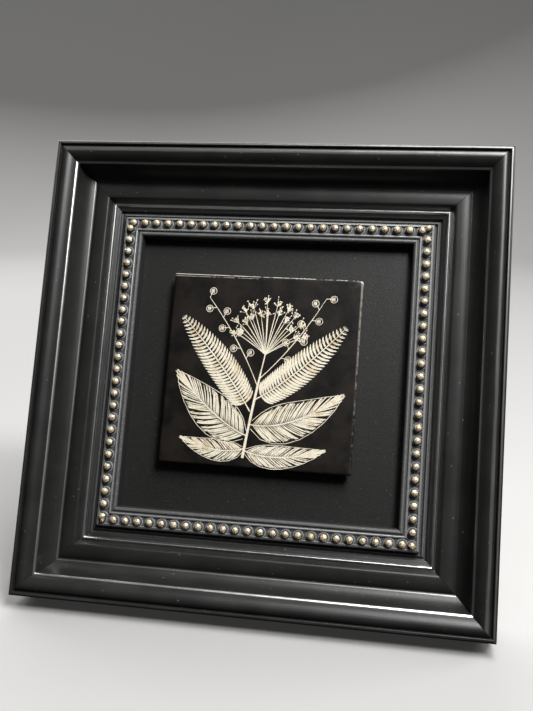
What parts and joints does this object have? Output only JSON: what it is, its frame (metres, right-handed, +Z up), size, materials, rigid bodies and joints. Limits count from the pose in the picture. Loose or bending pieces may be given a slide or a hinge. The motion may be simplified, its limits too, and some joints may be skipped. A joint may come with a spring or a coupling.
{
  "type": "framed scratchboard panel",
  "caption": "Square stepped-moulding picture frame with a beaded inner slip, dark mat and raised engraved panel, leaning back on a hinged easel strut.",
  "frame": {"origin": "on the table, under the centre of the object's bounding box, with the frame leaning back 20 degrees on its open strut", "axes": "+X along the frame's width to the right as seen from the front, +Y from the picture side to the strut side, +Z up"},
  "size_m": [0.25, 0.1382, 0.2432],
  "materials": {
    "moulding_paint": "satin black paint",
    "slip_paint": "dark slate paint with worn antique gold on the beads",
    "mat_paper": "matte black paper",
    "panel_face": "semi-gloss black ink with scratched cream lines",
    "foam_board": "matte",
    "backing_fibreboard": "raw brown fibreboard",
    "strut_board": "black paper on fibreboard",
    "fitting_steel": "zinc plated"
  },
  "bodies": {
    "frame": {"moulding_bottom": "moulding_paint", "moulding_right": "moulding_paint", "moulding_top": "moulding_paint", "moulding_left": "moulding_paint", "bead_slip_bottom": "slip_paint", "bead_slip_right": "slip_paint", "bead_slip_top": "slip_paint", "bead_slip_left": "slip_paint", "mat_board": "mat_paper", "filler_board": "foam_board", "backing_board": "backing_fibreboard", "art_panel": "panel_face", "panel_spacer": "foam_board", "turn_button_left_1": "fitting_steel", "turn_button_left_2": "fitting_steel", "turn_button_right_1": "fitting_steel", "turn_button_right_2": "fitting_steel", "button_screw_left_1": "fitting_steel", "button_screw_left_2": "fitting_steel", "button_screw_right_1": "fitting_steel", "button_screw_right_2": "fitting_steel", "hinge_leaf": "fitting_steel", "hinge_pin": "fitting_steel", "hinge_rivet_left": "fitting_steel", "hinge_rivet_right": "fitting_steel"},
    "strut": {"strut_board": "strut_board", "strut_leaf": "fitting_steel", "strut_rivet_left": "fitting_steel", "strut_rivet_right": "fitting_steel"}
  },
  "joints": [
    {"name": "strut_hinge", "type": "hinge", "parent": "frame", "child": "strut", "pos_m": [0, 0.01852, 0.14678], "axis": [1, 0, 0], "range_deg": [-38.5, 0]}
  ]
}
